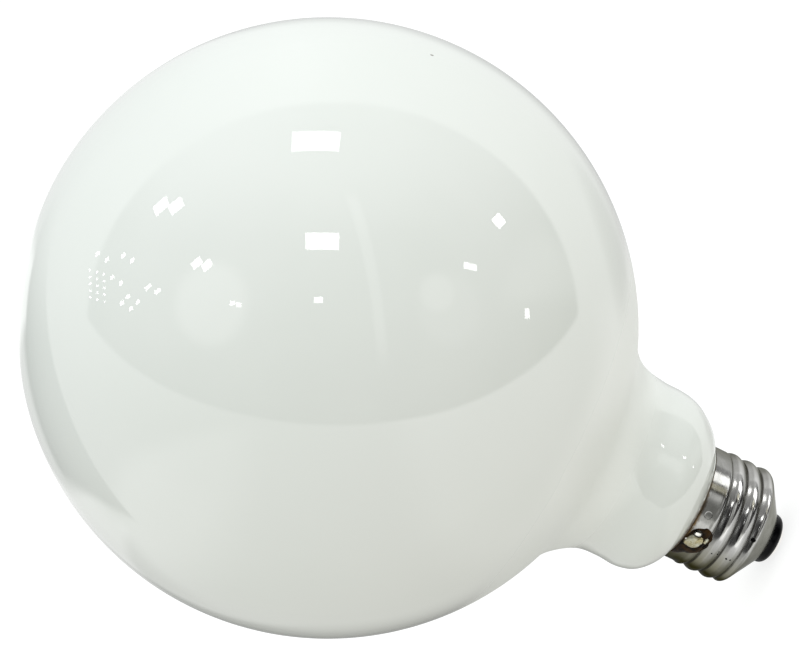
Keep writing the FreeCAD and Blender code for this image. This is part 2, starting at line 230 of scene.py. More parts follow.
print(f"crest {wall_radius(CREST_AT_TOP, THREAD_TOP) / MM:.2f} mm, band {wall_radius(0, RIM) / MM:.2f} mm")

# %% Roll the shell
SHELL_STEPS = 216
SHELL_SHARP = 40
SHEET = 0.3 * MM
RING_STEP = 0.12 * MM


def wall_outline():
    count = round((RIM - SHELL_END) / RING_STEP)
    levels = [SHELL_END + (RIM - SHELL_END) * i / count for i in range(count + 1)]
    return [(plain_wall(level), level) for level in levels]


screw_shell = lathe("rolled_shell", wall_outline(), SHELL_STEPS)
groove = screw_shell.data.attributes.new("groove", "FLOAT", "POINT")
for vertex in screw_shell.data.vertices:
    azimuth = math.atan2(vertex.co.y, vertex.co.x)
    height = vertex.co.z
    stretch = wall_radius(azimuth, height) / math.hypot(vertex.co.x, vertex.co.y)
    vertex.co.x *= stretch
    vertex.co.y *= stretch
    groove.data[vertex.index].value = -thread_height(azimuth, height) * thread_share(height)
sheet = screw_shell.modifiers.new("sheet", "SOLIDIFY")
sheet.thickness = SHEET
sheet.offset = -1
bpy.ops.object.modifier_apply(modifier="sheet")
bpy.ops.object.shade_smooth_by_angle(angle=math.radians(SHELL_SHARP))
print(f"rolled shell: {len(screw_shell.data.polygons)} faces")

# %% [markdown]
# The end of the cap is a button of black glass, moulded into the shell's cone, with a brass plate riveted
# through it and a dome of solder on the plate. All three are round: the button and the plate are turned,
# and the solder is a ball that is flattened and made uneven, because it froze as it was left.

# %% Mould the insulator and its contact
plate_low, plate_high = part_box("center_contact")
PLATE_FOOT = plate_low.z
PLATE_TOP = PLATE_FOOT + 0.35 * MM
PLATE_RADIUS = plate_high.x
EYELET = 1.0 * MM
EYELET_BORE = 0.65 * MM
FLANGE_RADIUS = 1.7 * MM
FLANGE_SHEET = 0.3 * MM
BUTTON_BORE = 5.59 * MM
BUTTON_END = 4.0 * MM
BUTTON_ROUND = 1.5 * MM
SEAT_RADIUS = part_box("cap_insulator")[1].x
SEAT_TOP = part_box("cap_insulator")[1].z
SEAT_WIDTH = 2.6 * MM
DISH_RADIUS = 4.4 * MM
DISH_FLOOR = PLATE_TOP + 4.3 * MM
BUTTON_STEPS, PLATE_STEPS = 96, 64
END_SHARP = 30


def button_outline():
    """The button's rounded edge, its side up to the shell's end, and the dish inside the cone."""
    points = [(EYELET, PLATE_TOP)]
    points += arc((BUTTON_END, PLATE_TOP + BUTTON_ROUND), BUTTON_ROUND, -90, -8, 12)
    points += [(BUTTON_BORE - 0.05 * MM, SHELL_END - 0.12 * MM), (BUTTON_BORE, SHELL_END)]
    points += [(SEAT_RADIUS, SEAT_TOP), (SEAT_RADIUS - SEAT_WIDTH, SEAT_TOP), (DISH_RADIUS, DISH_FLOOR)]
    return points + [(EYELET, DISH_FLOOR), (EYELET, PLATE_TOP)]


def plate_outline():
    """The plate with a rolled edge, the tube and the flange that holds it inside."""
    edge = (PLATE_TOP - PLATE_FOOT) / 2
    flange_top = DISH_FLOOR + FLANGE_SHEET
    points = [(EYELET_BORE, PLATE_FOOT)]
    points += arc((PLATE_RADIUS - edge, PLATE_FOOT + edge), edge, -90, 90, 8)
    points += [(EYELET, PLATE_TOP), (EYELET, DISH_FLOOR)]
    points += [(FLANGE_RADIUS, DISH_FLOOR), (FLANGE_RADIUS, flange_top)]
    return points + [(EYELET_BORE, flange_top), (EYELET_BORE, PLATE_FOOT)]


button = lathe("black_button", button_outline(), BUTTON_STEPS, END_SHARP)
contact_plate = lathe("contact_plate", plate_outline(), PLATE_STEPS, END_SHARP)

# %% Drop the centre solder
DOME_RADIUS = 2.4 * MM
bpy.ops.object.select_all(action="DESELECT")
bpy.ops.mesh.primitive_uv_sphere_add(segments=48, ring_count=24, radius=1, location=(0, 0, 0))
center_solder = bpy.context.object
center_solder.name = "center_dome"
for vertex in center_solder.data.vertices:
    around = math.atan2(vertex.co.y, vertex.co.x)
    reach = math.hypot(vertex.co.x, vertex.co.y)
    uneven = 1 + 0.08 * math.sin(3 * around + 0.4) + 0.04 * math.sin(7 * around)
    lump = 0.9 + 0.1 * math.sin(5 * vertex.co.x + 1) * math.cos(4 * vertex.co.y)
    drop = PLATE_FOOT * (1 - reach**2) ** 0.5 * lump if vertex.co.z < 0 and reach < 1 else 0
    spread = DOME_RADIUS * uneven
    vertex.co = (vertex.co.x * spread, vertex.co.y * spread, PLATE_FOOT - drop)
bpy.ops.object.shade_smooth()
print("centre solder ends at", round(min(v.co.z for v in center_solder.data.vertices) / MM, 3), "mm")

# %% [markdown]
# The second lead of the bulb comes out under the rim and is soldered to the band. The blob sits in a pool
# of flux that burnt dark brown, with a small tooth and a bright bead of solder beside it. All four are
# patches that lie on the band, so a ball is pressed onto it: its upper half becomes the outside of the
# patch, and its lower half lies flat on the wall. The outline is a few corners in millimetres along and
# up the band, rounded off.

# %% Press a ball onto the band
SOLDER_AZIMUTH = math.radians(-128)


def outline_reach(corners, middle, angle):
    """Distance from the middle of a patch to its outline, along an angle, between neighbouring corners."""
    polar = sorted((math.atan2(z - middle[1], a - middle[0]), math.hypot(a - middle[0], z - middle[1]))
                   for a, z in corners)
    polar = [(polar[-1][0] - TURN, polar[-1][1])] + polar + [(polar[0][0] + TURN, polar[0][1])]
    for (first, near), (last, far) in zip(polar, polar[1:]):
        if first <= angle <= last:
            return near + (far - near) * smooth_step(first, last, angle)
    return polar[0][1]


def press_on_band(name, corners, middle, profile, segments):
    """A patch on the wall of the shell. The profile gives its thickness in mm at a share of the way out."""
    bpy.ops.object.select_all(action="DESELECT")
    rings = segments // 2
    bpy.ops.mesh.primitive_uv_sphere_add(segments=segments, ring_count=rings, radius=1, location=(0, 0, 0))
    patch = bpy.context.object
    patch.name = name
    for vertex in patch.data.vertices:
        angle = math.atan2(vertex.co.y, vertex.co.x)
        share = min(math.hypot(vertex.co.x, vertex.co.y), 1)
        reach = share * outline_reach(corners, middle, angle)
        along = middle[0] + reach * math.cos(angle)
        height = min((middle[1] + reach * math.sin(angle)) * MM, RIM)
        azimuth = SOLDER_AZIMUTH + along * MM / SHELL
        thickness = profile(share, along, height / MM) * MM if vertex.co.z > 0 else 0
        radius = wall_radius(azimuth, height) + thickness
        vertex.co = (radius * math.cos(azimuth), radius * math.sin(azimuth), height)
    bpy.ops.object.mode_set(mode="EDIT")
    bpy.ops.mesh.select_all(action="SELECT")
    bpy.ops.mesh.normals_make_consistent(inside=False)
    bpy.ops.object.mode_set(mode="OBJECT")
    bpy.ops.object.shade_smooth()
    print(f"{name}: {len(patch.data.polygons)} faces")
    return patch


print(f"side solder at {math.degrees(SOLDER_AZIMUTH):.0f} degrees")

# %% Solder the side lead
FLUX_CORNERS = [(-5.2, 21.85), (-3.1, 19.7), (-1.7, 17.9), (-0.4, 16.9), (1.7, 16.7), (3.2, 16.75),
                (4.0, 17.1), (4.7, 18.1), (4.9, 18.9), (4.45, 19.6), (4.1, 20.5), (3.5, 21.25), (2.2, 21.7),
                (0.7, 21.95), (-2.5, 22.0)]
SOLDER_CORNERS = [(-0.4, 21.6), (-0.75, 20.6), (-0.75, 19.5), (-0.25, 18.7), (0.8, 18.3), (1.7, 18.15),
                  (2.5, 18.6), (2.3, 19.7), (2.2, 21.0), (1.4, 21.5)]
TOOTH_CORNERS = [(1.35, 17.45), (1.45, 17.75), (2.3, 18.1), (2.85, 17.85), (2.85, 17.5), (1.9, 17.15)]
BEAD_CORNERS = [(2.2, 20.0), (2.35, 20.7), (2.9, 21.1), (3.5, 20.95), (3.85, 20.3), (3.7, 19.6),
                (3.1, 19.2), (2.5, 19.4)]


def flux_profile(share, along, height):
    crust = 0.05 * noise.noise(Vector((along * 1.7, height * 1.7, 0)))
    return 0.02 + (0.16 + crust) * (1 - share**4)


def solder_profile(share, along, height):
    lump = 0.08 * noise.noise(Vector((along * 0.9, height * 0.9, 4)))
    return 0.05 + (0.7 + lump) * math.sqrt(max(1 - share**2.4, 0))


def drop_profile(edge, rise):
    """The profile of a plain drop, with a thickness at its edge and a rise to its middle."""
    return lambda share, *place: edge + rise * math.sqrt(max(1 - share**2, 0))


burnt_flux = press_on_band("burnt_flux", FLUX_CORNERS, (0.6, 19.4), flux_profile, 96)
solder_blob = press_on_band("solder_blob", SOLDER_CORNERS, (0.9, 19.9), solder_profile, 72)
solder_tooth = press_on_band("solder_tooth", TOOTH_CORNERS, (2.15, 17.63), drop_profile(0.1, 0.3), 24)
solder_bead = press_on_band("solder_bead", BEAD_CORNERS, (3.0, 20.1), drop_profile(0.3, 0.3), 48)

# %% [markdown]
# Every piece rides on the one body of the part, and a piece that stands for a solid says so.

# %% Tie the pieces to the part
for piece, node, slot in ((opal_glass, "glass_globe", "opal_glass"),
                          (screw_shell, "screw_shell", "shell_metal"),
                          (button, "cap_insulator", "black_glass"),
                          (contact_plate, "center_contact", "contact_metal"),
                          (center_solder, "center_solder", "solder"), (solder_blob, "side_solder", "solder")):
    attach(piece, "root")
    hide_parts(node)
    print(f"{piece.name} stands for {node}")
for piece in (burnt_flux, solder_tooth, solder_bead):
    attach(piece, "root")

# %% [markdown]
# Finishes are node trees. A few short helpers keep them readable: one adds a node and fills its inputs,
# and the others give the sums, ranges, mixes and noises that nearly every finish needs.

# %% Node helpers
def fill(tree, node, inputs):
    """Fills inputs by name or number. A socket is linked, and a plain value is set."""
    for key, value in inputs.items():
        if isinstance(value, bpy.types.NodeSocket):
            tree.links.new(value, node.inputs[key])
        else:
            node.inputs[key].default_value = value


def add_node(tree, kind, inputs, **settings):
    node = tree.nodes.new(kind)
    for name, value in settings.items():
        setattr(node, name, value)
    fill(tree, node, inputs)
    return node


def maths(tree, operation, first, second=0.0):
    return add_node(tree, "ShaderNodeMath", {0: first, 1: second}, operation=operation).outputs[0]


def product(tree, first, *others):
    for other in others:
        first = maths(tree, "MULTIPLY", first, other)
    return first


def map_range(tree, value, low, high, to_low=0.0, to_high=1.0, kind="SMOOTHSTEP"):
    inputs = {0: value, 1: low, 2: high, 3: to_low, 4: to_high}
    return add_node(tree, "ShaderNodeMapRange", inputs, interpolation_type=kind).outputs["Result"]


def mix_color(tree, share, first, second):
    return add_node(tree, "ShaderNodeMix", {0: share, 6: first, 7: second}, data_type="RGBA").outputs[2]


def object_place(tree):
    return add_node(tree, "ShaderNodeTexCoord", {}).outputs["Object"]


def axes_of(tree, place):
    return add_node(tree, "ShaderNodeSeparateXYZ", {"Vector": place}).outputs


def distance(tree, place, point):
    node = add_node(tree, "ShaderNodeVectorMath", {0: place, 1: point}, operation="DISTANCE")
    return node.outputs["Value"]


def noise_at(tree, place, scale, detail=2.0, stretch=(1, 1, 1)):
    """Noise over a place, in features per metre."""
    mapped = add_node(tree, "ShaderNodeMapping", {"Vector": place, "Scale": stretch}).outputs[0]
    texture = add_node(tree, "ShaderNodeTexNoise", {"Vector": mapped, "Scale": scale, "Detail": detail})
    return texture.outputs["Fac"]


def bumped(tree, height, strength, depth):
    inputs = {"Height": height, "Strength": strength, "Distance": depth}
    return add_node(tree, "ShaderNodeBump", inputs).outputs["Normal"]


print("node helpers ready")

# %% [markdown]
# A finish starts as a new material with its Principled shader, and a piece gets it in place of what it had.

# %% Start a finish and give it to a piece
def new_finish(name):
    """A material, its node tree and its Principled shader."""
    finish = bpy.data.materials.new(name)
    finish.use_nodes = True
    tree = finish.node_tree
    return finish, tree, tree.nodes["Principled BSDF"]


def give(piece, finish):
    piece.data.materials.clear()
    piece.data.materials.append(finish)
    print(f"{piece.name} is finished in {finish.name}")


# %% [markdown]
# Specks of dirt sit on the glass and on the cap. A speck is a spot around a point, with a ragged edge. It
# is used by more than one finish, so it is a node group with the point and the radius as inputs.

# %% A speck
def new_group(name, inputs):
    """A node group with one mask as its output, and the sockets of its inputs inside."""
    group = bpy.data.node_groups.new(name, "ShaderNodeTree")
    for label, kind in inputs.items():
        group.interface.new_socket(label, in_out="INPUT", socket_type=kind)
    group.interface.new_socket("Mask", in_out="OUTPUT", socket_type="NodeSocketFloat")
    return group, group.nodes.new("NodeGroupInput").outputs


SPECK_RAGGED = 0.9
SPECK_GRAIN = 1900


def build_speck():
    group, given = new_group("speck", {"Place": "NodeSocketVector", "Point": "NodeSocketVector",
                                       "Radius": "NodeSocketFloat"})
    share = maths(group, "DIVIDE", distance(group, given["Place"], given["Point"]), given["Radius"])
    ragged = maths(group, "SUBTRACT", noise_at(group, given["Place"], SPECK_GRAIN, 3), 0.5)
    edge = maths(group, "ADD", share, product(group, ragged, SPECK_RAGGED))
    add_node(group, "NodeGroupOutput", {"Mask": map_range(group, edge, 0.75, 1.1, 1.0, 0.0)})
    return group


SPECK = build_speck()


def specks(tree, place, spots):
    """One mask for several specks, each a point in metres and a radius."""
    mask = 0.0
    for point, radius in spots:
        inputs = {"Place": place, "Point": point, "Radius": radius}
        speck = add_node(tree, "ShaderNodeGroup", inputs, node_tree=SPECK)
        mask = maths(tree, "MAXIMUM", speck.outputs["Mask"], mask)
    return mask


def on_wall(height, azimuth):
    """A point on the outside of the shell, from a height in mm and an azimuth in degrees."""
    turn = math.radians(azimuth)
    radius = wall_radius(turn, height * MM)
    return Vector((radius * math.cos(turn), radius * math.sin(turn), height * MM))


print("speck group:", [item.name for item in SPECK.interface.items_tree])

# %% [markdown]
# Where the side lead was soldered, the heat left a brown stain along the joint of glass and cap. It is on
# both, so it is a node group too: strongest at the height of the joint, near the solder, and broken up by
# noise.

# %% A stain along the joint
STAIN_HEIGHT = RIM + 0.15 * MM
STAIN_REACH = 1.0 * MM
STAIN_RAGGED = 1.2 * MM
STAIN_GRAIN = 900
STAIN_FROM, STAIN_TO = (math.radians(-40), math.radians(-110)), (math.radians(-160), math.radians(-140))


def build_stain():
    group, given = new_group("joint_stain", {"Place": "NodeSocketVector"})
    place = given["Place"]
    parts = axes_of(group, place)
    away = maths(group, "ABSOLUTE", maths(group, "SUBTRACT", parts["Z"], STAIN_HEIGHT))
    ragged = maths(group, "SUBTRACT", noise_at(group, place, STAIN_GRAIN, 3), 0.5)
    around = maths(group, "ARCTAN2", parts["Y"], parts["X"])
    near = product(group, map_range(group, around, *STAIN_FROM, 0.25, 1.0),
                   map_range(group, around, *STAIN_TO, 0.2, 1.0))
    wavy = maths(group, "ADD", away, product(group, ragged, STAIN_RAGGED))
    share = maths(group, "DIVIDE", wavy, product(group, near, STAIN_REACH))
    mask = product(group, map_range(group, share, 0.2, 1.0, 1.0, 0.0), near)
    add_node(group, "NodeGroupOutput", {"Mask": mask})
    return group


STAIN = build_stain()


def joint_stain(tree, place):
    return add_node(tree, "ShaderNodeGroup", {"Place": place}, node_tree=STAIN).outputs["Mask"]


print("stain at", round(STAIN_HEIGHT / MM, 2), "mm")

# %% [markdown]
# The glass is clear outside and coated white inside, so it looks like glossy white porcelain with a breath
# of green. The coat is a little uneven, blown glass is never quite true, and hands have touched it: those
# are slow noises in the colour, the bump and the roughness. The fold where the neck runs into the globe is
# a bit hazy, and its colour is painted lighter, most on one side: painted light that brightens its shade.

# %% Opal glass
THIN_COAT, FULL_COAT = (0.855, 0.875, 0.85, 1), (0.875, 0.89, 0.87, 1)
# The last colour on the next line is painted light, which the fold's colour is lifted towards.
POWDER, FOLD_PAINTED_LIGHT = (0.8, 0.8, 0.77, 1), (0.95, 0.965, 0.94, 1)
GLASS_DIRT, GLASS_STAIN = (0.3, 0.29, 0.26, 1), (0.09, 0.06, 0.03, 1)
GLASS_SPECKS = [((0.05684, -0.02666, 0.11635), 0.4 * MM)]
GLASS_IOR = 1.52
COAT_CLOUDS, COAT_GRAIN, SMUDGES, BLOWN_WAVES = 22, 420, 60, 38
GRAIN_SHARE = 0.03
CLEAN_TO_SMUDGED = (0.012, 0.04)
FOLD_HAZE = 0.4
WAVE_STRENGTH, WAVE_DEPTH = 0.05, 2 * MM
FOLD_FOOT = (RIM + 15 * MM, RIM + 22 * MM)
FOLD_TOP = (RIM + 44 * MM, RIM + 34 * MM)
PAINTED_LIGHT_SIDE = (-22 * MM, -4 * MM)


def finish_glass():
    finish, tree, shader = new_finish("opal_glass")
    place = object_place(tree)
    parts = axes_of(tree, place)
    fold = product(tree, map_range(tree, parts["Z"], *FOLD_FOOT), map_range(tree, parts["Z"], *FOLD_TOP))
    # Painted light: the fold's colour is lifted to a lighter white, most on one side, to brighten its shade.
    painted_fold_light = product(tree, fold, map_range(tree, parts["X"], *PAINTED_LIGHT_SIDE, 0.0, 0.8))
    cloud = map_range(tree, noise_at(tree, place, COAT_CLOUDS, 3), 0.3, 0.7)
    white = mix_color(tree, cloud, THIN_COAT, FULL_COAT)
    white = mix_color(tree, product(tree, noise_at(tree, place, COAT_GRAIN, 2), GRAIN_SHARE), white, POWDER)
    white = mix_color(tree, specks(tree, place, GLASS_SPECKS), white, GLASS_DIRT)
    white = mix_color(tree, joint_stain(tree, place), white, GLASS_STAIN)
    white = mix_color(tree, painted_fold_light, white, FOLD_PAINTED_LIGHT)
    smudge = map_range(tree, noise_at(tree, place, SMUDGES, 4), 0.45, 0.75, *CLEAN_TO_SMUDGED)
    rough = maths(tree, "ADD", smudge, product(tree, fold, FOLD_HAZE))
    wave = bumped(tree, noise_at(tree, place, BLOWN_WAVES, 1), WAVE_STRENGTH, WAVE_DEPTH)
    fill(tree, shader, {"Base Color": white, "Roughness": rough, "Normal": wave, "IOR": GLASS_IOR})
    return finish


give(opal_glass, finish_glass())

# %% [markdown]
# The shell is plain aluminium that has been handled and warmed: fine lines run round it from the rolling,
# dirt and painted shade lie in the grooves, the crests are rubbed bright, one side is painted darker and
# olive as painted shade and dark reflection, and a brown stain creeps along the rim from the burnt flux.
# A round punch mark is pressed into the band.

# %% Rolled aluminium
CAP_SPECKS = [(on_wall(9.05, -97), 0.62 * MM), (on_wall(11.85, -125.5), 0.24 * MM),
              (on_wall(10.95, -125), 0.22 * MM), (on_wall(15.15, -127), 0.18 * MM),
              (on_wall(13.85, -126), 0.22 * MM), (on_wall(13.95, -123), 0.2 * MM)]
PUNCH = on_wall(20.1, -94.5)
PUNCH_EDGE = (0.72 * MM, 0.9 * MM)
DARK_METAL, LIGHT_METAL = (0.22, 0.22, 0.21, 1), (0.30, 0.30, 0.29, 1)
# The second and third colours on the next line are painted shade and dark reflection for the -X side.
RUBBED, PAINTED_SIDE_SHADE, PAINTED_DEEP_SHADE = (0.55, 0.55, 0.54, 1), (0.10, 0.096, 0.062, 1), (0.025, 0.023, 0.010, 1)
# The middle colour on the next line is dirt and painted shade for the grooves.
CAP_STAIN, GROOVE_DIRT_AND_SHADE, CAP_DIRT = (0.07, 0.045, 0.02, 1), (0.035, 0.032, 0.027, 1), (0.006, 0.006, 0.006, 1)
EDGE_TINT = (0.5, 0.5, 0.46, 1)
ROLLING_LINES = (90, 90, 2600)
METAL_CLOUDS = 260
SIDE_SHADE_SPAN, DEEP_SHADE_SPAN = (-4 * MM, -11 * MM), (-10.3 * MM, -12.4 * MM)
LINE_ROUGH = (0.13, 0.22)
CREST_POLISH, DIRT_ROUGH = 0.03, 0.4
LINE_DEPTH = 0.01
RELIEF_STRENGTH, RELIEF_DEPTH = 0.6, 0.1 * MM


def finish_shell():
    finish, tree, shader = new_finish("rolled_aluminium")
    place = object_place(tree)
    side = axes_of(tree, place)["X"]
    lines = noise_at(tree, place, 1, 3, ROLLING_LINES)
    cloud = noise_at(tree, place, METAL_CLOUDS, 4)
    groove = add_node(tree, "ShaderNodeAttribute", {}, attribute_name="groove").outputs["Fac"]
    crest = map_range(tree, groove, -0.4, -1)
    uneven = map_range(tree, cloud, 0.2, 0.6, 0.7, 1.0)
    # Painted shade and dark reflection: the side towards -X is darkened and tinted olive, darker still at its
    # edge.
    side_shade = product(tree, map_range(tree, side, *SIDE_SHADE_SPAN, 0.0, 0.9), uneven)
    deep_shade = product(tree, map_range(tree, side, *DEEP_SHADE_SPAN), uneven)
    # Dirt and painted shade in the grooves: they are darkened where the thread sinks, and made rougher.
    groove_dirt_and_shade = product(tree, map_range(tree, groove, 0.55, 0.98), map_range(tree, cloud, 0.25, 0.6, 0.45, 1.0))
    dirt = specks(tree, place, CAP_SPECKS)
    metal = mix_color(tree, map_range(tree, cloud, 0.3, 0.7), DARK_METAL, LIGHT_METAL)
    for share, color in ((product(tree, crest, 0.5), RUBBED), (side_shade, PAINTED_SIDE_SHADE), (deep_shade, PAINTED_DEEP_SHADE),
                         (joint_stain(tree, place), CAP_STAIN), (groove_dirt_and_shade, GROOVE_DIRT_AND_SHADE), (dirt, CAP_DIRT)):
        metal = mix_color(tree, share, metal, color)
    rough = map_range(tree, lines, 0.3, 0.7, *LINE_ROUGH)
    rough = maths(tree, "SUBTRACT", rough, product(tree, crest, CREST_POLISH))
    rough = maths(tree, "ADD", rough, product(tree, maths(tree, "MAXIMUM", groove_dirt_and_shade, dirt), DIRT_ROUGH))
    dent = map_range(tree, distance(tree, place, PUNCH), *PUNCH_EDGE)
    relief = maths(tree, "ADD", product(tree, lines, LINE_DEPTH), dent)
    fill(tree, shader, {"Base Color": metal, "Roughness": rough, "Metallic": 1.0, "Specular Tint": EDGE_TINT,
                        "Normal": bumped(tree, relief, RELIEF_STRENGTH, RELIEF_DEPTH)})
    return finish


give(screw_shell, finish_shell())

# %% [markdown]
# The small finishes: black glass with a soft sheen, brass, grey solder with cream patches, a bright bead
# where the solder ran clean, dark resin that was flux, baked cement and nickel wire.

# %% Small finishes
def finish_small(name, dark, light, roughness, metallic, scale, depth, gloss=0.5):
    """A finish of two colours in a cloudy mix, with its roughness and a fine bump from the same noise."""
    finish, tree, shader = new_finish(name)
    cloud = noise_at(tree, object_place(tree), scale, 4)
    color = mix_color(tree, map_range(tree, cloud, 0.35, 0.65), (*dark, 1), (*light, 1))
    rough = map_range(tree, cloud, 0.3, 0.7, *roughness)
    fill(tree, shader, {"Base Color": color, "Roughness": rough, "Normal": bumped(tree, cloud, 0.5, depth),
                        "Metallic": metallic, "Specular IOR Level": gloss})
    return finish


black_glass = finish_small("black_glass", (0.0015, 0.0015, 0.002), (0.006, 0.006, 0.007), (0.2, 0.36), 0, 600,
                           0.02 * MM, gloss=0.06)
brass = finish_small("worn_brass", (0.45, 0.33, 0.15), (0.72, 0.58, 0.32), (0.2, 0.4), 1, 900, 0.02 * MM)
solder = finish_small("grey_solder", (0.32, 0.28, 0.15), (0.48, 0.48, 0.39), (0.2, 0.4), 0.5, 700, 0.08 * MM)
bead = finish_small("bright_bead", (0.03, 0.03, 0.027), (0.06, 0.06, 0.055), (0.06, 0.12), 1, 900, 0.01 * MM)
resin = finish_small("burnt_resin", (0.003, 0.0015, 0.0002), (0.03, 0.014, 0.002), (0.1, 0.22), 0, 800,
                     0.05 * MM, gloss=0.06)
cement = finish_small("baked_cement", (0.05, 0.03, 0.015), (0.2, 0.14, 0.08), (0.6, 0.9), 0, 1500, 0.1 * MM)
wire = finish_small("nickel_wire", (0.4, 0.38, 0.35), (0.6, 0.58, 0.55), (0.25, 0.4), 1, 2000, 0.01 * MM)
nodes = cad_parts
for piece, finish in ((button, black_glass), (contact_plate, brass), (center_solder, solder),
                      (solder_blob, solder), (solder_tooth, solder), (solder_bead, bead), (burnt_flux, resin),
                      (nodes["basing_cement"], cement), (nodes["center_lead"], wire),
                      (nodes["side_lead"], wire)):
    give(piece, finish)

# %% [markdown]
# The camera stands level with the globe, a little above its middle, and is rolled so that the bulb seems to
# lie on its side with the cap to the lower right.

# %% Place the camera
PHOTO_WIDTH, PHOTO_HEIGHT = 800, 655
CAMERA_PLACE = Vector((0, -549.65, 200.67)) * MM
CAMERA_ANGLES = (65.813, 62.140, -22.331)
SENSOR = 36.0
LENS = 122.05
lens = bpy.data.cameras.new("camera")
lens.sensor_width = SENSOR
lens.lens = LENS
camera = bpy.data.objects.new("camera", lens)
bpy.context.scene.collection.objects.link(camera)
camera.location = CAMERA_PLACE
camera.rotation_euler = [math.radians(angle) for angle in CAMERA_ANGLES]
bpy.context.scene.camera = camera
view = camera.rotation_euler.to_matrix()
RIGHT, UP, BACK = view.col[0].copy(), view.col[1].copy(), view.col[2].copy()
print("camera looks along", [round(-x, 3) for x in BACK])

# %% [markdown]
# A glossy ball shows every lamp as a highlight, so the lamps are placed from their highlights: a ray goes
# from the camera to the pixel, meets the globe and is thrown back, and the lamp stands on that line, turned
# to the globe. Its width comes from how fast the thrown ray swings from one pixel to the next.

# %% Lamps from their highlights
PIXELS_PER_SLOPE = LENS / SENSOR * PHOTO_WIDTH


def thrown_ray(column, row):
    """Where the globe is seen at a pixel, and the direction that it mirrors there."""
    slope_right = (column - PHOTO_WIDTH / 2) / PIXELS_PER_SLOPE
    slope_down = (row - PHOTO_HEIGHT / 2) / PIXELS_PER_SLOPE
    ray = (RIGHT * slope_right - UP * slope_down - BACK).normalized()
    offset = CAMERA_PLACE - MIDDLE
    along = offset.dot(ray)
    depth = -along - math.sqrt(along**2 - offset.length_squared + GLOBE**2)
    spot = CAMERA_PLACE + ray * depth
    return spot, ray.reflect((spot - MIDDLE).normalized())


def area_lamp(name, size, radiance, spot, toward, side, stand_off):
    """A lamp that stands off a spot and faces it. Its own light is given, so its power follows its size."""
    lamp = bpy.data.lights.new(name, "AREA")
    lamp.shape = "RECTANGLE"
    lamp.size, lamp.size_y = size
    lamp.energy = radiance * math.pi * lamp.size * lamp.size_y
    holder = bpy.data.objects.new(name, lamp)
    bpy.context.scene.collection.objects.link(holder)
    axes = Matrix((side, toward.cross(side), toward)).transposed()
    holder.matrix_world = Matrix.Translation(spot + toward * stand_off) @ axes.to_4x4()
    holder.visible_camera = False
    return holder


def highlight_lamp(name, pixel, size, radiance, turn=0.0, stand_off=2.0, beam=180.0):
    """A lamp whose highlight has a size in pixels at a pixel of the picture, turned by some degrees."""
    spot, toward = thrown_ray(*pixel)
    swing_x = thrown_ray(pixel[0] + 1, pixel[1])[1] - toward
    swing_y = thrown_ray(pixel[0], pixel[1] + 1)[1] - toward
    face = (swing_x.length * size[0] * stand_off, swing_y.length * size[1] * stand_off)
    side = (swing_x - toward * swing_x.dot(toward)).normalized()
    side = Matrix.Rotation(math.radians(turn), 3, toward) @ side
    holder = area_lamp(name, face, radiance, spot, toward, side, stand_off)
    if beam < 180:
        half = math.radians(beam / 2)
        holder.data.spread = 2 * half
        holder.data.energy *= (math.tan(half) - half) / math.tan(half)
    return holder


print("picture scale:", round(PIXELS_PER_SLOPE), "pixels for a slope of 1")

# %% [markdown]
# Two broad lamps over the camera light the bulb. The rest are small and bright, and only glint in the glass.
# One of those has a narrow beam, so that it glints in the globe and nowhere else.

# %% Hang the lamps
BROAD_LAMPS = {"overhead": ((316, 141), (50, 20), 9), "front": ((322, 241), (34, 17), 9)}
GLINTS = {
    "left_near": ((161, 206), (12, 12), 12, 45), "left_far": ((176, 206), (12, 12), 12, 45),
    "left_low_near": ((197, 263), (10, 8), 12, 40), "left_low_far": ((207, 265), (10, 8), 12, 40),
    "far_front": ((317.5, 299.5), (9, 6), 12, 0), "far_left": ((233, 303.5), (5, 4), 12, 0),
    "far_middle": ((239, 305), (5, 4), 12, 0), "low_left_near": ((148.5, 287), (6, 4), 12, 30),
    "low_left_far": ((158, 291), (6, 4), 12, 30), "right_low": ((471, 267), (13, 7), 9, -10),
    "far_right": ((527, 313), (5, 10), 9, 0), "right_near": ((499, 221), (11, 11), 22, 30, 0.4, 16),
}
for name, shape in BROAD_LAMPS.items():
    highlight_lamp(name, *shape)
for name, shape in GLINTS.items():
    highlight_lamp(name, *shape).visible_diffuse = False
print("lamps:", len(BROAD_LAMPS), "broad and", len(GLINTS), "small")

# %% [markdown]
# The cap mirrors lamps that stand close to it. They too are placed from their highlights, by azimuth on the
# band, and light linking keeps them off the glass: they light only what is in their own collection, and the
# last one lights only the bead.

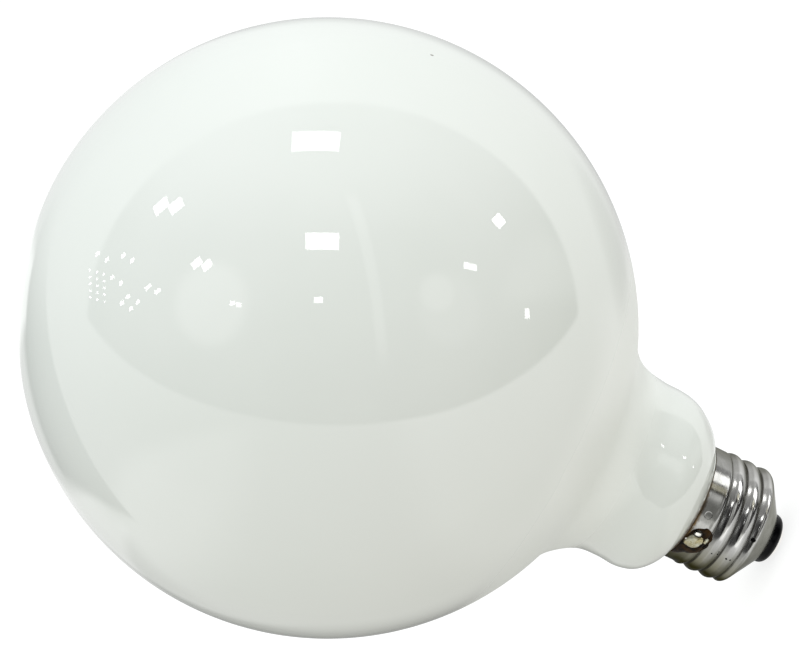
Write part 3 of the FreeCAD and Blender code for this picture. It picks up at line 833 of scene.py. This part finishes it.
# %% Lamps for the cap
CAP_LAMPS = {
    "cap_key": (-57, (0.42, 0.17), 3.7, (1, 1, 1)), "cap_warm": (-67, (0.3, 0.09), 1.1, (1, 0.95, 0.75)),
    "cap_fill": (-87, (0.4, 0.5), 0.42, (1, 1, 0.96)), "cap_low": (-103.5, (0.4, 0.24), 0.85, (1, 1, 0.96)),
    "bead_glint": (-114, (0.5, 0.35), 20.0, (1, 1, 1)),
}
CAP_STAND_OFF = 0.5
BAND_MIDDLE = Vector((0, 0, (BAND_FOOT + RIM) / 2))
AXIS = Vector((0, 0, 1))
cap_pieces = bpy.data.collections.new("cap_pieces")
bead_alone = bpy.data.collections.new("bead_alone")
for piece in (screw_shell, burnt_flux, solder_blob, solder_tooth, solder_bead):
    cap_pieces.objects.link(piece)
bead_alone.objects.link(solder_bead)
for name, (degrees, size, radiance, color) in CAP_LAMPS.items():
    normal = Matrix.Rotation(math.radians(degrees), 3, "Z") @ Vector((1, 0, 0))
    spot = normal * SHELL + BAND_MIDDLE
    toward = (spot - CAMERA_PLACE).normalized().reflect(normal)
    side = (AXIS - toward * toward.z).normalized()
    holder = area_lamp(name, size, radiance, spot, toward, side, CAP_STAND_OFF)
    holder.data.color = color
    holder.light_linking.receiver_collection = bead_alone if name == "bead_glint" else cap_pieces
print("cap lamps:", list(CAP_LAMPS))

# %% [markdown]
# Far to the left the glass also shows a bunch of tiny lights: three short columns close together, and a
# loose ring round them.

# %% A bunch of tiny lights
TINY, SMALL = (2, 2), (3.5, 4)
BUNCH = [(90 + 7 * column, 270 + 7 * row + 2 * column) for column in range(3) for row in range(5)]
RING = [(98, 253), (107, 259), (123, 255), (132, 260), (112, 277), (121, 283), (122, 303), (128, 297),
        (138, 302), (131, 309)]
for i, pixel in enumerate(BUNCH):
    highlight_lamp(f"bunch_{i:02d}", pixel, TINY, 9).visible_diffuse = False
for i, pixel in enumerate(RING):
    highlight_lamp(f"ring_{i:02d}", pixel, SMALL, 12, 20).visible_diffuse = False
print("tiny lights:", len(BUNCH) + len(RING))

# %% [markdown]
# Around the bulb is a white sweep with a darker room on the camera's side. A world can tell rays apart, so
# it is built as three: what lights the surfaces is a soft gradient from upper left to lower right, what the
# gloss mirrors is the sweep with the room in it, and the camera itself sees plain white. Directions are
# named as the camera sees them. The room comes first: it is dark, but bright high up, and has a few pale
# places.

# %% The room in the mirror
ROOM_PATCHES = {
    "left": ((-0.65, 0.14, 0.747), (0.96, 0.985), 1.0),
    "right": ((0.645, 0.2, 0.737), (0.991, 0.997), 0.65),
    "around_right": ((0.71, 0.11, 0.696), (0.968, 0.99), 0.4),
}
ACROSS_STRIP = (0.934, 0.12, -0.336)
STRIP_LEVEL, FAR_RIGHT_LEVEL, CLUTTER_LEVEL, TOP_LEVEL = 0.75, 0.45, 0.15, 0.9


def seen(right, up, back):
    """A direction, from its parts to the right, upwards and towards the camera."""
    return (RIGHT * right + UP * up + BACK * back).normalized()


def build_room(tree, toward, along):
    """Bright high up, with faint clutter, pale patches, a pale upright strip and a pale far right."""
    right, up = along(RIGHT), along(UP)
    parts = [map_range(tree, noise_at(tree, toward, 2.2, 2), 0.35, 0.65, 0.0, CLUTTER_LEVEL)]
    for middle, (edge, core), strength in ROOM_PATCHES.values():
        parts.append(map_range(tree, along(seen(*middle)), edge, core, 0.0, strength))
    off_strip = maths(tree, "ABSOLUTE", along(seen(*ACROSS_STRIP)))
    strip = map_range(tree, off_strip, 0.045, 0.02, 0.0, STRIP_LEVEL)
    parts.append(product(tree, strip, map_range(tree, up, -0.3, 0.0), map_range(tree, up, 0.77, 0.7)))
    far_right = map_range(tree, right, 0.88, 0.95, 0.0, FAR_RIGHT_LEVEL)
    parts.append(product(tree, far_right, map_range(tree, up, 0.08, 0.2)))
    level = map_range(tree, up, 0.4, 0.95, 0.0, TOP_LEVEL)
    for part in parts:
        level = maths(tree, "ADD", level, part)
    return level


def room_share(tree, along):
    """Where the room is: in front, under an arch of the sweep and above the edge of the table."""
    off_middle = maths(tree, "ADD", along(RIGHT), 0.2)
    arch = maths(tree, "ADD", along(BACK), product(tree, off_middle, off_middle, 0.2))
    table_edge = along(UP + 0.62 * BACK + 0.04 * RIGHT)
    return product(tree, map_range(tree, arch, 0.0, 0.06), map_range(tree, table_edge, -0.08, -0.04))


print("left is", [round(x, 2) for x in seen(-1, 0, 0)])

# %% [markdown]
# The sweep is bright beside the bulb and dimmer behind it, and it has shades of its own: a dark
# screen on the left, dim edges of the table, and brighter or darker rims. Each shade takes a part of the
# light away, or adds some where the part is negative. It lies where all its measures of the direction are
# in range, from none at the first number to full at the second.

# %% The sweep in the mirror
LINEAR = (0.0, 1.0, "LINEAR")
SWEEP_BESIDE, SWEEP_BEHIND = 1.75, 0.9
SHADES = {
    "left_rim": (-0.75, ("off_left_rim", 0.09, 0.04), ("right", -0.12, -0.2), ("back", -0.79, -0.83)),
    "table": (0.3, ("up", -0.02, -0.35), ("beside", 0.6, 0.3)),
    "left": (0.35, ("right", -0.1, -0.6, *LINEAR), ("up", -0.62, -0.5)),
    "corner": (0.36, ("to_corner", 0.965, 1.0)),
    "glow": (-0.2, ("right", 0.2, 0.4), ("off_glow", 0.25, 0.1), ("back", -0.3, -0.6)),
    "screen": (0.8, ("to_screen", 0.805, 0.825), ("foot", -1.045, -0.985), ("up", 0.3, -0.05),
               ("back", -0.88, -0.8)),
    "edge": (0.3, ("back", -0.84, -0.96), ("right", 0.3, 0.1), ("right", -0.18, -0.1)),
    "brink": (0.53, ("up", -0.02, -0.35), ("back", -0.74, -0.88, *LINEAR), ("right", 0.45, 0.07, *LINEAR),
              ("slant", 0.808, 0.908, *LINEAR)),
    "low_rim": (-0.5, ("off_low_rim", 0.1, 0.05), ("right", -0.12, -0.2), ("back", -0.5, -0.65)),
    "right_rim": (0.25, ("back", -0.85, -0.93), ("up", 0.04, 0.14), ("right", 0.05, 0.25)),
}


def measure_direction(tree, along):
    """What the shades depend on: parts of the direction, nearness to a direction, distance from a line."""
    def away(value, offset=0.0):
        return maths(tree, "ABSOLUTE", maths(tree, "ADD", value, offset))

    right, up = along(RIGHT), along(UP)
    return {
        "right": right, "up": up, "back": along(BACK), "beside": away(right), "off_glow": away(up, 0.1),
        "to_corner": along(seen(0.6, 0.17, -0.77)), "to_screen": along(seen(-0.433, -0.263, -0.862)),
        "foot": along(UP + 0.9 * BACK), "slant": along(RIGHT - 1.2 * BACK),
        "off_low_rim": away(along(seen(0.636, -0.772, 0))),
        "off_left_rim": away(along(seen(0.139, 0.99, 0)), 0.01),
    }


def build_sweep(tree, along):
    """The level of the sweep less its shades. The left rim is built first, as it also hides the screen."""
    measures = measure_direction(tree, along)
    level = map_range(tree, measures["back"], 0.0, -1.0, SWEEP_BESIDE, SWEEP_BEHIND, "LINEAR")
    shares = {}
    for name, (loss, *ranges) in SHADES.items():
        share = product(tree, *[map_range(tree, measures[key], *limits) for key, *limits in ranges])
        if name == "screen":
            share = product(tree, share, maths(tree, "SUBTRACT", 1.0, shares["left_rim"]))
        shares[name] = share
        level = product(tree, level, map_range(tree, share, 0, 1, 1.0, 1 - loss, "LINEAR"))
    return level


print("shades of the sweep:", list(SHADES))

# %% [markdown]
# The three worlds are put together with Light Path, which says for each ray whether it lights a surface, is
# mirrored by gloss or comes straight from the camera.

# %% The studio around it
LIGHT_FROM = seen(-0.62, 0.78, 0.03)
SHADE, LIGHT = (0.605, 0.595, 0.535, 1), (0.975, 1.035, 1.025, 1)
WHITE = (1, 1, 1, 1)


def build_studio():
    world = bpy.data.worlds.new("studio")
    bpy.context.scene.world = world
    world.use_nodes = True
    tree = world.node_tree
    tree.nodes.clear()
    toward = add_node(tree, "ShaderNodeTexCoord", {}).outputs["Generated"]

    def along(axis):
        node = add_node(tree, "ShaderNodeVectorMath", {0: toward, 1: axis}, operation="DOT_PRODUCT")
        return node.outputs["Value"]

    soft = mix_color(tree, map_range(tree, along(LIGHT_FROM), -1, 1, kind="LINEAR"), SHADE, LIGHT)
    sweep, room = build_sweep(tree, along), build_room(tree, toward, along)
    mirrored = mix_color(tree, room_share(tree, along), sweep, room)
    rays = add_node(tree, "ShaderNodeLightPath", {}).outputs
    shader = add_node(tree, "ShaderNodeBackground", {"Color": soft, "Strength": 1.0}).outputs[0]
    for ray, color in (("Is Glossy Ray", mirrored), ("Is Camera Ray", WHITE)):
        other = add_node(tree, "ShaderNodeBackground", {"Color": color, "Strength": 1.0}).outputs[0]
        shader = add_node(tree, "ShaderNodeMixShader", {"Fac": rays[ray], 1: shader, 2: other}).outputs[0]
    add_node(tree, "ShaderNodeOutputWorld", {"Surface": shader})
    return world


print("studio:", build_studio().name)

# %% [markdown]
# The floor is a pale sheet under the contact. It takes the bulb's soft shadow, and a little glow of its own
# keeps it white in the picture. The gloss looks through it to the studio, and from below it is clear, so that
# the end of the cap can be looked at too.

# %% Lay the floor
PAPER_DARK, PAPER_LIGHT = (0.36, 0.36, 0.36, 1), (0.38, 0.38, 0.38, 1)
PAPER_GLOW = 0.78
FLOOR_SIZE = 40
bpy.ops.object.select_all(action="DESELECT")
bpy.ops.mesh.primitive_plane_add(size=FLOOR_SIZE, location=(0, 0, 0))
floor = bpy.context.object
floor.name = "floor"
paper, tree, shader = new_finish("floor_paper")
fibre = mix_color(tree, noise_at(tree, object_place(tree), 3, 2), PAPER_DARK, PAPER_LIGHT)
fill(tree, shader, {"Base Color": fibre, "Roughness": 0.9, "Specular IOR Level": 0.0, "Emission Color": WHITE,
                    "Emission Strength": PAPER_GLOW})
clear = add_node(tree, "ShaderNodeBsdfTransparent", {}).outputs[0]
from_below = add_node(tree, "ShaderNodeNewGeometry", {}).outputs["Backfacing"]
one_sided = add_node(tree, "ShaderNodeMixShader", {"Fac": from_below, 1: shader.outputs[0], 2: clear})
fill(tree, tree.nodes["Material Output"], {"Surface": one_sided.outputs[0]})
give(floor, paper)
floor.visible_glossy = False
floor.visible_diffuse = False
bpy.context.scene.view_settings.view_transform = "Standard"
